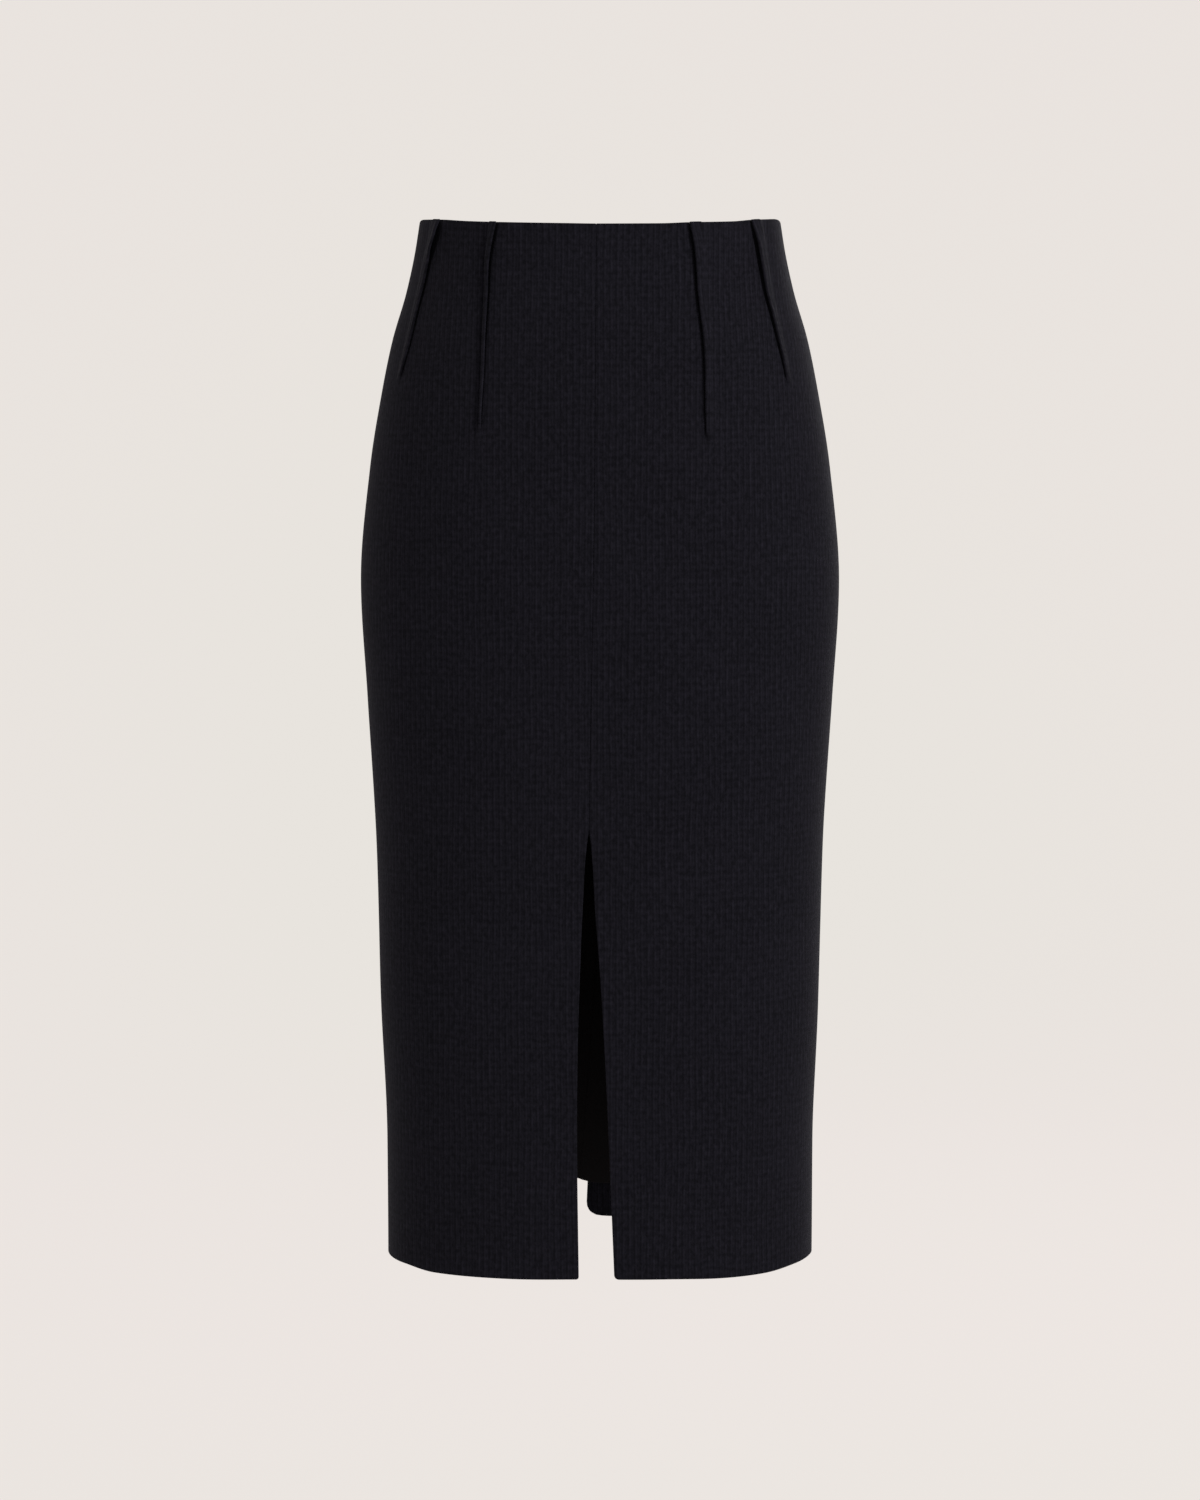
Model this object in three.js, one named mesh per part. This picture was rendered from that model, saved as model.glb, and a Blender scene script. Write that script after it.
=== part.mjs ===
// A pencil skirt in thick crepe, filled out as it is when worn, in millimetres with +Z up.
// The origin is the centre of the waist opening, level with the top of the side seams. The front
// faces -Y and the wearer's left is +X. Four cloth panels meet at the centre front, the centre back
// and the sides. The front has a long walking slit and four tucks stitched on the outside. The back
// has a vent and a concealed zip. A lining hangs inside.
import * as THREE from "three";

// Driving sizes
const HEM = 742; // from the top of the side seam down to the hem
const WAIST_DIP = 6.2; // how much lower the waist is at the centre front than at the sides
const DIP_FADES_AT = 120; // how far down the dip of the waist no longer shows
const CLOTH = 2.4; // the crepe with its turned edges
const SEAM = 0.3; // between neighbouring pieces
const LINING_CLOTH = 1;
const LINING_EASE = { waist: 0.6, body: 1.2, freeAt: 60 }; // between the crepe and the lining
const LINING_TOP = 4; // the lining starts this far below the waist edge
const LINING_HEM = 716;
const LINING_SLIT_TOP = 405; // the lining opens a little above the slit
const LINING_SET_BACK = 14; // and stays this far behind the edges of the slit

// Rows of a table as objects, with a name for each column.
function table(names, rows) {
  return rows.map((row) => Object.fromEntries(names.map((name, i) => [name, row[i]])));
}

// The filled skirt at a few heights: half its width, how far the front and the back stand out from
// the side seams, and the power that makes the section squarer than an ellipse, whose power is 2.
const SECTIONS = table(
  ["down", "half", "front", "back", "power"],
  [
    [0, 128.5, 88, 92, 2.15],
    [20, 131.5, 90, 95, 2.2],
    [50, 138, 95, 102, 2.2],
    [85, 148.3, 101, 112, 2.25],
    [120, 155.6, 105, 121, 2.3],
    [175, 164.6, 109, 130, 2.3],
    [255, 171.3, 111, 134, 2.35],
    [340, 166.9, 111, 133, 2.4],
    [445, 160.5, 110, 131, 2.45],
    [560, 157.7, 108, 130, 2.5],
    [660, 153.6, 106, 129, 2.5],
    [HEM, 153.3, 105, 130, 2.5],
  ],
);

// The line between the two front panels and between the two back panels: how far it lies along the
// cloth from the middle, towards +X, and how far the panels part to each side of it. They part below
// the end of the seam, at the slit and the vent.
const FRONT_SEAM = table(
  ["down", "along", "part"],
  [
    [0, 0.3, 0],
    [160, 0.1, 0],
    [300, -1.7, 0],
    [423, -3.8, 0],
    [438, -3.9, 1.6],
    [451, -4, 2.7],
    [480, -4, 4.2],
    [522, -3.3, 6.7],
    [579, -2.5, 9.3],
    [636, -1.5, 10.9],
    [HEM, 1.2, 12.5],
  ],
);
const BACK_SEAM = table(
  ["down", "along", "part"],
  [
    [0, 0, 0],
    [300, -2, 0],
    [540, -7, 0],
    [640, -13.8, 3.2],
    [HEM, -21.1, 6],
  ],
);

// The four tucks: which side of the centre front, how long the stitching is, how steeply the flap
// leans away from the cloth, and where its stitching starts, bends and ends along the cloth.
const TUCK_BEND = 35; // how far down the stitching bends
const TUCKS = table(
  ["side", "length", "lean", "start", "bend", "end"],
  [
    [-1, 155, 15, 79, 81.8, 82.7],
    [-1, 112, 24, 127.5, 140, 156],
    [1, 155, 15, 73.2, 76.6, 78.5],
    [1, 114, 24, 124.3, 130.3, 145.4],
  ],
);
const TUCK_DEPTH = 7.8; // how far the flap stands out from its base, at the waist
const TUCK_TAPER = 1.25; // above 1 the flap narrows faster near the waist
const TUCK_BASE = 2.4; // width of the two layers where they leave the panel
const TUCK_THICK = 1.8; // height of the folded edge

// Heights of the rows of points, close together where the tucks shape the waist.
const ROWS = [
  0, 10, 22, 36, 50, 66, 82, 98, 114, 134, 155, 185, 220, 262, 310, 365, 423, 480, 545, 610, 675,
  HEM,
];

// A smooth curve through one column of a table, with no overshoot between the rows.
function curve(rows, name) {
  const x = rows.map((row) => row.down);
  const y = rows.map((row) => row[name]);
  const rise = x.slice(1).map((next, i) => (y[i + 1] - y[i]) / (next - x[i]));
  const slope = x.map((_, i) => {
    if (i === 0) return rise[0];
    if (i === x.length - 1) return rise[i - 1];
    if (rise[i - 1] * rise[i] <= 0) return 0;
    const before = x[i] - x[i - 1];
    const after = x[i + 1] - x[i];
    const weight = 3 * (before + after);
    return weight / ((2 * after + before) / rise[i - 1] + (after + 2 * before) / rise[i]);
  });
  return (down) => {
    let i = 0;
    while (i < x.length - 2 && down > x[i + 1]) i += 1;
    const width = x[i + 1] - x[i];
    const t = THREE.MathUtils.clamp((down - x[i]) / width, 0, 1);
    const turn = t * t * (3 - 2 * t);
    return (
      y[i] * (1 - turn) +
      y[i + 1] * turn +
      slope[i] * width * t * (1 - t) ** 2 -
      slope[i + 1] * width * t * t * (1 - t)
    );
  };
}

const section = {
  half: curve(SECTIONS, "half"),
  front: curve(SECTIONS, "front"),
  back: curve(SECTIONS, "back"),
  power: curve(SECTIONS, "power"),
};
const seam = {
  front: { along: curve(FRONT_SEAM, "along"), part: curve(FRONT_SEAM, "part") },
  back: { along: curve(BACK_SEAM, "along"), part: curve(BACK_SEAM, "part") },
};

// Where a panel ends beside the centre line, as a distance from the middle. The side is 1 for +X.
function panelEdge(face, side, down) {
  return side * seam[face].along(down) + seam[face].part(down) + SEAM / 2;
}

// A quarter of the section at one height, from the centre line to the side seam: the distance along
// the cloth, x, and the distance in front of or behind the side seams.
const QUARTER_STEPS = 160;
const quarters = new Map();
function quarter(face, down) {
  const key = `${face} ${down}`;
  if (!quarters.has(key)) {
    const points = [];
    let along = 0;
    for (let i = 0; i <= QUARTER_STEPS; i += 1) {
      const turn = (i / QUARTER_STEPS) * (Math.PI / 2);
      const x = section.half(down) * Math.sin(turn) ** (2 / section.power(down));
      const y = section[face](down) * Math.abs(Math.cos(turn)) ** (2 / section.power(down));
      if (i > 0) along += Math.hypot(x - points[i - 1].x, y - points[i - 1].y);
      points.push({ along, x, y });
    }
    quarters.set(key, points);
  }
  return quarters.get(key);
}

function girth(face, down) {
  return quarter(face, down)[QUARTER_STEPS].along;
}

// A point of the section. Past the side seam the quarter is mirrored, so that the direction of the
// cloth is right at the seam too.
function onSection(face, down, along) {
  const points = quarter(face, down);
  const end = girth(face, down);
  const away = Math.abs(along);
  const inside = away > end ? 2 * end - away : away;
  let i = 0;
  while (i < QUARTER_STEPS - 1 && points[i + 1].along < inside) i += 1;
  const share = (inside - points[i].along) / (points[i + 1].along - points[i].along);
  const x = THREE.MathUtils.lerp(points[i].x, points[i + 1].x, share);
  const y = THREE.MathUtils.lerp(points[i].y, points[i + 1].y, share);
  const depth = away > end ? -y : y;
  return new THREE.Vector2(along < 0 ? -x : x, face === "front" ? -depth : depth);
}

// A point of the cloth: how far down, how far along the cloth from the centre line towards +X, and
// how far out from the skirt's surface.
const LOOK = 2.5; // how far to each side the direction of the cloth is measured
function spot(face, down, along, out) {
  const here = onSection(face, down, along);
  const way = onSection(face, down, along + LOOK).sub(onSection(face, down, along - LOOK));
  const outward = new THREE.Vector2(way.y, -way.x).normalize();
  if (face === "back") outward.negate();
  const ahead = face === "front" ? -here.y / section.front(down) : 0;
  const fade = Math.max(0, 1 - down / DIP_FADES_AT);
  here.addScaledVector(outward, out);
  return new THREE.Vector3(here.x, here.y, -down - WAIST_DIP * ahead * fade);
}

// A closed wall from rows of points, the top row first. A row holds its outer and inner points in
// the order that runs counterclockwise round the skirt, seen from above. All rows have the same
// number of columns.
function wall(rows) {
  const points = [];
  const corners = [];
  const last = rows.length - 1;
  const width = rows[0].outer.length;
  const columns = width - 1;
  const index = (row, side, column) =>
    row * 2 * width + (side === "inner" ? width : 0) + column;
  const quad = (a, b, c, d) => corners.push(a, b, c, a, c, d);
  rows.forEach((row) => points.push(...row.outer, ...row.inner));
  for (let r = 0; r < last; r += 1) {
    for (let c = 0; c < columns; c += 1) {
      quad(
        index(r, "outer", c),
        index(r + 1, "outer", c),
        index(r + 1, "outer", c + 1),
        index(r, "outer", c + 1),
      );
      quad(
        index(r, "inner", c + 1),
        index(r + 1, "inner", c + 1),
        index(r + 1, "inner", c),
        index(r, "inner", c),
      );
    }
    quad(
      index(r, "inner", 0),
      index(r + 1, "inner", 0),
      index(r + 1, "outer", 0),
      index(r, "outer", 0),
    );
    quad(
      index(r, "outer", columns),
      index(r + 1, "outer", columns),
      index(r + 1, "inner", columns),
      index(r, "inner", columns),
    );
  }
  for (const [row, up] of [
    [0, true],
    [last, false],
  ]) {
    const ring = [];
    for (let c = 0; c <= columns; c += 1) ring.push(index(row, "outer", c));
    for (let c = columns; c >= 0; c -= 1) ring.push(index(row, "inner", c));
    const flat = ring.map((i) => new THREE.Vector2(points[i].x, points[i].y));
    for (const [a, b, c] of THREE.ShapeUtils.triangulateShape(flat, [])) {
      const leftTurn = THREE.ShapeUtils.area([flat[a], flat[b], flat[c]]) > 0;
      const [first, second] = leftTurn === up ? [b, c] : [c, b];
      corners.push(ring[a], ring[first], ring[second]);
    }
  }
  const geometry = new THREE.BufferGeometry().setFromPoints(points);
  geometry.setIndex(corners);
  geometry.computeVertexNormals();
  return geometry;
}

// A row of a wall from a list of columns. Each column says how far along the cloth its outer and
// inner points lie, and how far out the outer point stands.
function wallRow(face, down, columns, outside, thickness) {
  return {
    outer: columns.map((column) =>
      spot(face, down, column.along, outside + (column.raised ?? 0)),
    ),
    inner: columns.map((column) =>
      spot(face, down, column.base ?? column.along, outside - thickness),
    ),
  };
}

function evenly(from, to, count) {
  return Array.from({ length: count + 1 }, (_, i) => ({
    along: THREE.MathUtils.lerp(from, to, i / count),
  }));
}

// The five columns of a tuck at one height, from the centre outwards. The flap leans to the centre.
// Below the stitching it lies flat in the panel.
function tuckColumns(tuck, down) {
  const root =
    down < TUCK_BEND
      ? THREE.MathUtils.mapLinear(down, 0, TUCK_BEND, tuck.start, tuck.bend)
      : THREE.MathUtils.mapLinear(
          Math.min(down, tuck.length),
          TUCK_BEND,
          tuck.length,
          tuck.bend,
          tuck.end,
        );
  const depth = TUCK_DEPTH * Math.max(0, 1 - down / tuck.length) ** TUCK_TAPER;
  const lean = THREE.MathUtils.degToRad(tuck.lean);
  const reach = depth * Math.cos(lean);
  const rise = depth * Math.sin(lean);
  const thick = TUCK_THICK * Math.min(1, depth / TUCK_BASE);
  const base = (share) => root - share * TUCK_BASE;
  return [
    { along: base(1) },
    { along: base(0.75) - reach, base: base(0.75), raised: rise },
    { along: base(0.5) - reach, base: base(0.5), raised: rise + thick },
    { along: base(0.25), raised: thick },
    { along: base(0) },
  ];
}

// The columns of a front panel at one height, from the centre to the side seam.
const FRONT_CELLS = { toTuck: 6, between: 4, toSide: 5 };
function frontColumns(side, down) {
  const [inner, outer] = TUCKS.filter((tuck) => tuck.side === side).map((tuck) =>
    tuckColumns(tuck, down),
  );
  const end = girth("front", down) - SEAM / 2;
  return [
    ...evenly(panelEdge("front", side, down), inner[0].along, FRONT_CELLS.toTuck).slice(0, -1),
    ...inner,
    ...evenly(inner.at(-1).along, outer[0].along, FRONT_CELLS.between).slice(1, -1),
    ...outer,
    ...evenly(outer.at(-1).along, end, FRONT_CELLS.toSide).slice(1),
  ];
}

// Columns on the other side of the centre line, which run round the skirt in the opposite order.
function mirrored(columns) {
  return columns
    .map(({ along, base, raised }) => ({ along: -along, base: -(base ?? along), raised }))
    .reverse();
}

function frontPanel(side) {
  return wall(
    ROWS.map((down) => {
      const columns = frontColumns(side, down);
      return wallRow("front", down, side > 0 ? columns : mirrored(columns), 0, CLOTH);
    }),
  );
}

const BACK_CELLS = 12;
function backPanel(side) {
  return wall(
    ROWS.map((down) => {
      const end = girth("back", down) - SEAM / 2;
      const columns = evenly(panelEdge("back", side, down), end, BACK_CELLS);
      const ordered = side > 0 ? columns.reverse() : mirrored(columns).reverse();
      return wallRow("back", down, ordered, 0, CLOTH);
    }),
  );
}

// The lining has fewer rows and columns than the crepe, because no tucks shape it.
const LINING_ROWS = [LINING_TOP, 30, 60, 95, 135, 190, 262, 335, LINING_SLIT_TOP, 480, 560, 640];
const LINING_CELLS = 9;
const LINING_SLIT_OPENS = 60; // how far down the lining has drawn back from the slit

// The lining is sewn in at the waist, and hangs a little freer below.
function liningRow(face, down, columns) {
  const free = THREE.MathUtils.smoothstep(down, LINING_TOP, LINING_EASE.freeAt);
  const ease = THREE.MathUtils.lerp(LINING_EASE.waist, LINING_EASE.body, free);
  return wallRow(face, down, columns, -(CLOTH + ease), LINING_CLOTH);
}

function liningFront(side) {
  return wall(
    [...LINING_ROWS, LINING_HEM].map((down) => {
      const drawn = THREE.MathUtils.smoothstep(
        down,
        LINING_SLIT_TOP,
        LINING_SLIT_TOP + LINING_SLIT_OPENS,
      );
      const start = panelEdge("front", side, down) + LINING_SET_BACK * drawn;
      const columns = evenly(start, girth("front", down) - SEAM / 2, LINING_CELLS);
      return liningRow("front", down, side > 0 ? columns : mirrored(columns));
    }),
  );
}

// At the back the lining doesn't part at the vent: it hangs in one width behind it.
function liningBack(side) {
  return wall(
    [...LINING_ROWS, LINING_HEM].map((down) => {
      const start = side * seam.back.along(down) + SEAM / 2;
      const columns = evenly(start, girth("back", down) - SEAM / 2, LINING_CELLS);
      const ordered = side > 0 ? columns.reverse() : mirrored(columns).reverse();
      return liningRow("back", down, ordered);
    }),
  );
}

// The concealed zip shows only its slider's bridge and the pull. Both are drawn about the pull's
// hinge, with y standing out from the cloth and z running up the seam.
const ZIP = {
  down: 12, // from the waist to the hinge
  tilt: 10, // how far the cloth leans back there, in degrees
  stand: 2.2, // from the cloth to the hinge
  bridgeWidth: 2.6,
  bridgeRadius: 2.1,
  eyeRadius: 1.3,
  footLength: 9,
  footTop: 1.2, // from the hinge down to the top of the foot
  bridgeFoot: 0.9, // from the hinge down to where the round bridge ends
};
const PULL = {
  thick: 1.1,
  bar: 0.7, // half the height of the bar that lies in the bridge's eye
  window: 1.9, // half the width of the opening that the bridge passes through
  windowEnd: 3.6,
  droop: 1.5, // the tip hangs this many degrees closer to the cloth than the slider
};
const ROUND_STEPS = 10;

function sliderGeometry() {
  const foot = ZIP.footLength / 2;
  const bottom = -(ZIP.stand - SEAM);
  const meet = Math.asin(ZIP.bridgeFoot / ZIP.bridgeRadius);
  const shape = new THREE.Shape();
  shape.moveTo(-foot, bottom);
  shape.lineTo(foot, bottom);
  shape.lineTo(foot, -ZIP.footTop);
  shape.absarc(0, 0, ZIP.bridgeRadius, -meet, Math.PI + meet, false);
  shape.lineTo(-foot, -ZIP.footTop);
  shape.closePath();
  const eye = new THREE.Path();
  eye.absarc(0, 0, ZIP.eyeRadius, 0, 2 * Math.PI, true);
  shape.holes.push(eye);
  const geometry = new THREE.ExtrudeGeometry(shape, {
    depth: ZIP.bridgeWidth,
    bevelEnabled: false,
    curveSegments: ROUND_STEPS,
  });
  geometry.translate(0, 0, -ZIP.bridgeWidth / 2);
  // The profile was drawn with the seam's direction as x and the way out as y.
  const turn = new THREE.Matrix4().makeBasis(
    new THREE.Vector3(0, 0, 1),
    new THREE.Vector3(0, 1, 0),
    new THREE.Vector3(-1, 0, 0),
  );
  return geometry.applyMatrix4(turn);
}

// Half the width of the pull on its way down from the hinge. The end is rounded.
const PULL_EDGE = table(
  ["down", "half"],
  [
    [-0.7, 2.9],
    [4.4, 2.7],
    [9, 1.5],
    [13, 1.6],
    [18.5, 2.6],
    [21, 2.5],
    [22.4, 1.6],
    [23, 0.5],
  ],
);
const PULL_STEPS = 22;

function pullGeometry() {
  const half = curve(PULL_EDGE, "half");
  const from = PULL_EDGE[0].down;
  const to = PULL_EDGE.at(-1).down;
  const side = Array.from({ length: PULL_STEPS + 1 }, (_, i) => {
    const down = THREE.MathUtils.lerp(from, to, Math.sin((i / PULL_STEPS) * (Math.PI / 2)));
    return new THREE.Vector2(half(down), -down);
  });
  const other = side.map((point) => new THREE.Vector2(-point.x, point.y)).reverse();
  const outline = new THREE.Shape([...side, ...other]);
  const { bar, window, windowEnd } = PULL;
  outline.holes.push(
    new THREE.Path([
      new THREE.Vector2(-window, -bar),
      new THREE.Vector2(-window, -windowEnd),
      new THREE.Vector2(window, -windowEnd),
      new THREE.Vector2(window, -bar),
    ]),
  );
  const geometry = new THREE.ExtrudeGeometry(outline, { depth: PULL.thick, bevelEnabled: false });
  geometry.translate(0, 0, -PULL.thick / 2);
  return geometry.rotateX(Math.PI / 2);
}

const crepe = new THREE.MeshStandardMaterial({ color: 0x17161c, roughness: 0.95 });
const lining = new THREE.MeshStandardMaterial({ color: 0x15110f, roughness: 0.5 });
const enamel = new THREE.MeshStandardMaterial({ color: 0x0c0c0e, roughness: 0.35, metalness: 0.6 });

function piece(name, geometry, material) {
  const mesh = new THREE.Mesh(geometry, material);
  mesh.name = name;
  return mesh;
}

function zip() {
  const group = new THREE.Group();
  const surface = spot("back", ZIP.down, 0, 0);
  const tilt = THREE.MathUtils.degToRad(ZIP.tilt);
  group.position.set(
    surface.x,
    surface.y + ZIP.stand * Math.cos(tilt),
    surface.z + ZIP.stand * Math.sin(tilt),
  );
  group.rotation.x = tilt;
  const pull = piece("zip_pull", pullGeometry(), enamel);
  pull.rotation.x = -THREE.MathUtils.degToRad(PULL.droop);
  group.add(piece("zip_slider", sliderGeometry(), enamel), pull);
  return group;
}

const skirt = new THREE.Group();
skirt.add(
  piece("front_left", frontPanel(1), crepe),
  piece("front_right", frontPanel(-1), crepe),
  piece("back_left", backPanel(1), crepe),
  piece("back_right", backPanel(-1), crepe),
  piece("lining_front_left", liningFront(1), lining),
  piece("lining_front_right", liningFront(-1), lining),
  piece("lining_back_left", liningBack(1), lining),
  piece("lining_back_right", liningBack(-1), lining),
  zip(),
);

export default skirt;
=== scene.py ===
from functools import lru_cache
from itertools import product
from math import cos, exp, floor, hypot, pi, radians, sin, sqrt

import bmesh
import bpy
import numpy as np
from mathutils import Matrix, Vector, noise


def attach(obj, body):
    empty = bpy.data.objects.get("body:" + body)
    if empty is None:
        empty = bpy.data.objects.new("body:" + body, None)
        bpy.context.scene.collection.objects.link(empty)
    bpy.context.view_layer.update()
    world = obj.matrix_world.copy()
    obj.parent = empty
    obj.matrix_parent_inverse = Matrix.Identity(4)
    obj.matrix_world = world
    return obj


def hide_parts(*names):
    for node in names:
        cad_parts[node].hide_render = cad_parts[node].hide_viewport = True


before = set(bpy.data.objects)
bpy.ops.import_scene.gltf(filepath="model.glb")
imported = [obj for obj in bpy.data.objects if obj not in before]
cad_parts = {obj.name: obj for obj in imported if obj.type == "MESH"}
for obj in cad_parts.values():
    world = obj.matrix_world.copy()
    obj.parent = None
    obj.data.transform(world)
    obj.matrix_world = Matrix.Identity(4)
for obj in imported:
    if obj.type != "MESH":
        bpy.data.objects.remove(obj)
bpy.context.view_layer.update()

# The camera stands three metres away, a little to the skirt's own left of the middle and a
# little above it, with a long lens, so that the waist is seen as an edge and the hem curves down.
CAMERA_AWAY = 3.0
CAMERA_TURN = radians(2.0)
CAMERA_RISE = radians(4.3)
CAMERA_LENS = 100
CAMERA_SENSOR = 36
CAMERA_CLIP = 30
LOOKED_AT = Vector((0, 0, -0.37834))

camera_data = bpy.data.cameras.new("camera")
camera_data.lens = CAMERA_LENS
camera_data.sensor_width = CAMERA_SENSOR
camera_data.clip_end = CAMERA_CLIP
camera = bpy.data.objects.new("camera", camera_data)
backwards = Vector(
    (sin(CAMERA_TURN) * cos(CAMERA_RISE), -cos(CAMERA_TURN) * cos(CAMERA_RISE), sin(CAMERA_RISE))
)
camera.location = LOOKED_AT + backwards * CAMERA_AWAY
camera.rotation_mode = "QUATERNION"
camera.rotation_quaternion = (-backwards).to_track_quat("-Z", "Y")
bpy.context.scene.collection.objects.link(camera)
bpy.context.scene.camera = camera

# The front panels are cut from a thick wool crepe and joined down the centre front as far as the
# walking slit. Each has two tucks, folded on the outside, laid towards the centre and stitched at
# their roots. The waist, the slit and the hem are turned in, so their edges are round and full.
# Sizes are in millimetres: down from the top of the side seam, and along the cloth from the middle.
MM = 0.001
HEM = 742
WAIST_DIP = 6.2
DIP_FADES_AT = 120
SECTIONS = [  # down, half width, front depth, back depth, power of the section
    (0, 128.5, 88, 92, 2.15),
    (20, 131.5, 90, 95, 2.2),
    (50, 138, 95, 102, 2.2),
    (85, 148.3, 101, 112, 2.25),
    (120, 155.6, 105, 121, 2.3),
    (175, 164.6, 109, 130, 2.3),
    (255, 171.3, 111, 134, 2.35),
    (340, 166.9, 111, 133, 2.4),
    (445, 160.5, 110, 131, 2.45),
    (560, 157.7, 108, 130, 2.5),
    (660, 153.6, 106, 129, 2.5),
    (HEM, 153.3, 105, 130, 2.5),
]
FRONT_SEAM = [  # down, how far the seam lies along the cloth, how far the panels part from it
    (0, 0.3, 0),
    (160, 0.1, 0),
    (300, -1.7, 0),
    (423, -3.8, 0),
    (438, -3.9, 1.6),
    (451, -4.0, 2.7),
    (480, -4.0, 4.2),
    (522, -3.3, 6.7),
    (579, -2.5, 9.3),
    (636, -1.5, 10.9),
    (HEM, 1.2, 12.5),
]
SLIT_TOP = 423
CLOTH_THICK = 1.7
TURNED_EXTRA = 0.6  # the turned-in waist and hem are fuller than the single cloth
WAIST_FULL = 12
HEM_FULL = 26
SEAM_ROUND = 0.8  # the panels' edges are rounded into the groove of their seam
RIM = (0, 0.035, 0.13, 0.28, 0.51, 0.85, 1.6, 3.0)  # points close together beside every edge
ROW_PITCH = 3.6
FLAT_CORNER = 0.7
SIDE_CORNER = 2.2
OPENS_OVER = 8  # how far down a seam takes to part fully
FULL_ROUND = 0.97  # the most of the half thickness that an edge is rounded by
NEARLY_NOUGHT = 1e-9
LAYERS_APART = 0.02  # of the flat grid and its copy, before they take their places


def share_of(value, whole):
    """A share from nought to one, of a value in a whole."""
    return min(max(value / whole, 0), 1)


def curve(rows, column):
    """A smooth line through one column of a table, with no overshoot between its rows."""
    x = [row[0] for row in rows]
    y = [row[column] for row in rows]
    rise = [(y[i + 1] - y[i]) / (x[i + 1] - x[i]) for i in range(len(x) - 1)]
    slope = [rise[0]]
    for i in range(1, len(x) - 1):
        before = x[i] - x[i - 1]
        after = x[i + 1] - x[i]
        if rise[i - 1] * rise[i] <= 0:
            slope.append(0.0)
        else:
            weight = (2 * after + before) / rise[i - 1] + (after + 2 * before) / rise[i]
            slope.append(3 * (before + after) / weight)
    slope.append(rise[-1])

    def at(down):
        i = 0
        while i < len(x) - 2 and down > x[i + 1]:
            i += 1
        width = x[i + 1] - x[i]
        t = share_of(down - x[i], width)
        turn = t * t * (3 - 2 * t)
        bend = slope[i] * width * t * (1 - t) ** 2 - slope[i + 1] * width * t * t * (1 - t)
        return y[i] * (1 - turn) + y[i + 1] * turn + bend

    return at


section = {
    "half": curve(SECTIONS, 1),
    "front": curve(SECTIONS, 2),
    "back": curve(SECTIONS, 3),
    "power": curve(SECTIONS, 4),
}
QUARTER_STEPS = 200


@lru_cache(maxsize=None)
def quarter(face, level):
    """A quarter of the section at a whole millimetre: distance along the cloth, x and depth."""
    turn = np.linspace(0, pi / 2, QUARTER_STEPS + 1)
    power = 2 / section["power"](level)
    x = section["half"](level) * np.sin(turn) ** power
    y = section[face](level) * np.abs(np.cos(turn)) ** power
    along = np.concatenate(([0.0], np.cumsum(np.hypot(np.diff(x), np.diff(y)))))
    return along, x, y


def level_of(down):
    lower = min(max(floor(down), 0), HEM - 1)
    return lower, down - lower


@lru_cache(maxsize=None)
def girth(face, down):
    lower, share = level_of(down)
    return quarter(face, lower)[0][-1] * (1 - share) + quarter(face, lower + 1)[0][-1] * share


def on_section(face, down, along):
    """x and y of the skirt's surface, with the quarter mirrored past the side seam."""
    lower, share = level_of(down)
    x = 0.0
    y = 0.0
    for level, weight in ((lower, 1 - share), (lower + 1, share)):
        lengths, xs, ys = quarter(face, level)
        away = abs(along)
        end = lengths[-1]
        inside = 2 * end - away if away > end else away
        x += weight * np.interp(inside, lengths, xs)
        y += weight * np.interp(inside, lengths, ys) * (-1 if away > end else 1)
    return (-x if along < 0 else x), (-y if face == "front" else y)


# Soft creases that the cloth keeps from wear and pressing: where the middle of each lies along the
# cloth and down it, how long it is, how far it turns from upright in degrees, how deep it sinks
# and how wide it is.
CREASES = {
    "front": [
        (-84, 178, 46, 4, 0.32, 4.5),
        (80, 182, 52, -6, 0.35, 5),
        (-118, 236, 120, 12, 0.3, 15),
        (112, 262, 150, -9, 0.35, 17),
        (-38, 520, 170, 5, 0.3, 18),
        (44, 600, 150, -5, 0.32, 20),
    ],
    "back": [
        (7, 214, 46, -24, 0.55, 4.5),
        (-9, 209, 38, 28, 0.5, 4),
        (34, 262, 120, -58, 0.6, 12),
        (-40, 290, 140, 52, 0.7, 14),
        (16, 566, 88, -26, 0.65, 8),
        (-44, 585, 120, 22, 0.8, 11),
        (104, 330, 190, -14, 0.5, 20),
        (-112, 360, 170, 10, 0.45, 18),
    ],
}
# How the pressed waist edge rises beside the tucks and how the hem hangs a little lower between the
# slit and the sides, by place along the front.
WAIST_RISE = [
    (-175, 1.4),
    (-150, 1.7),
    (-120, 2.2),
    (-96, 1.5),
    (-60, 0.9),
    (-20, 0.4),
    (0, 0.1),
    (45, 0.1),
    (68, 0.7),
    (100, 0.9),
    (122, 1.8),
    (150, 1.7),
    (175, 1.4),
]
HEM_DROP = [
    (-213, 0.0),
    (-180, -0.4),
    (-150, -0.2),
    (-120, 1.9),
    (-60, 2.1),
    (0, 1.2),
    (50, 1.3),
    (90, 2.0),
    (125, 1.3),
    (155, -0.9),
    (185, -1.7),
    (213, 0.0),
]
WAIST_RISE_FADES = 26
HEM_DROP_FADES = 70
SIDE_DIP = 2.2  # the waist edge is pressed round over the side seams
SIDE_DIP_WIDE = 13
SIDE_DIP_FADES = 9
VENT_LIFT = 1.5  # the hem curls up beside the vent
VENT_PLACE = -18
VENT_LIFT_WIDE = 13
waist_rise = curve(WAIST_RISE, 1)
hem_drop = curve(HEM_DROP, 1)
SWELL = 0.55  # how far the cloth wanders in and out between its seams
SWELL_AT_WAIST = 0.35  # the share of it that is left where the waist holds the cloth
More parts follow.
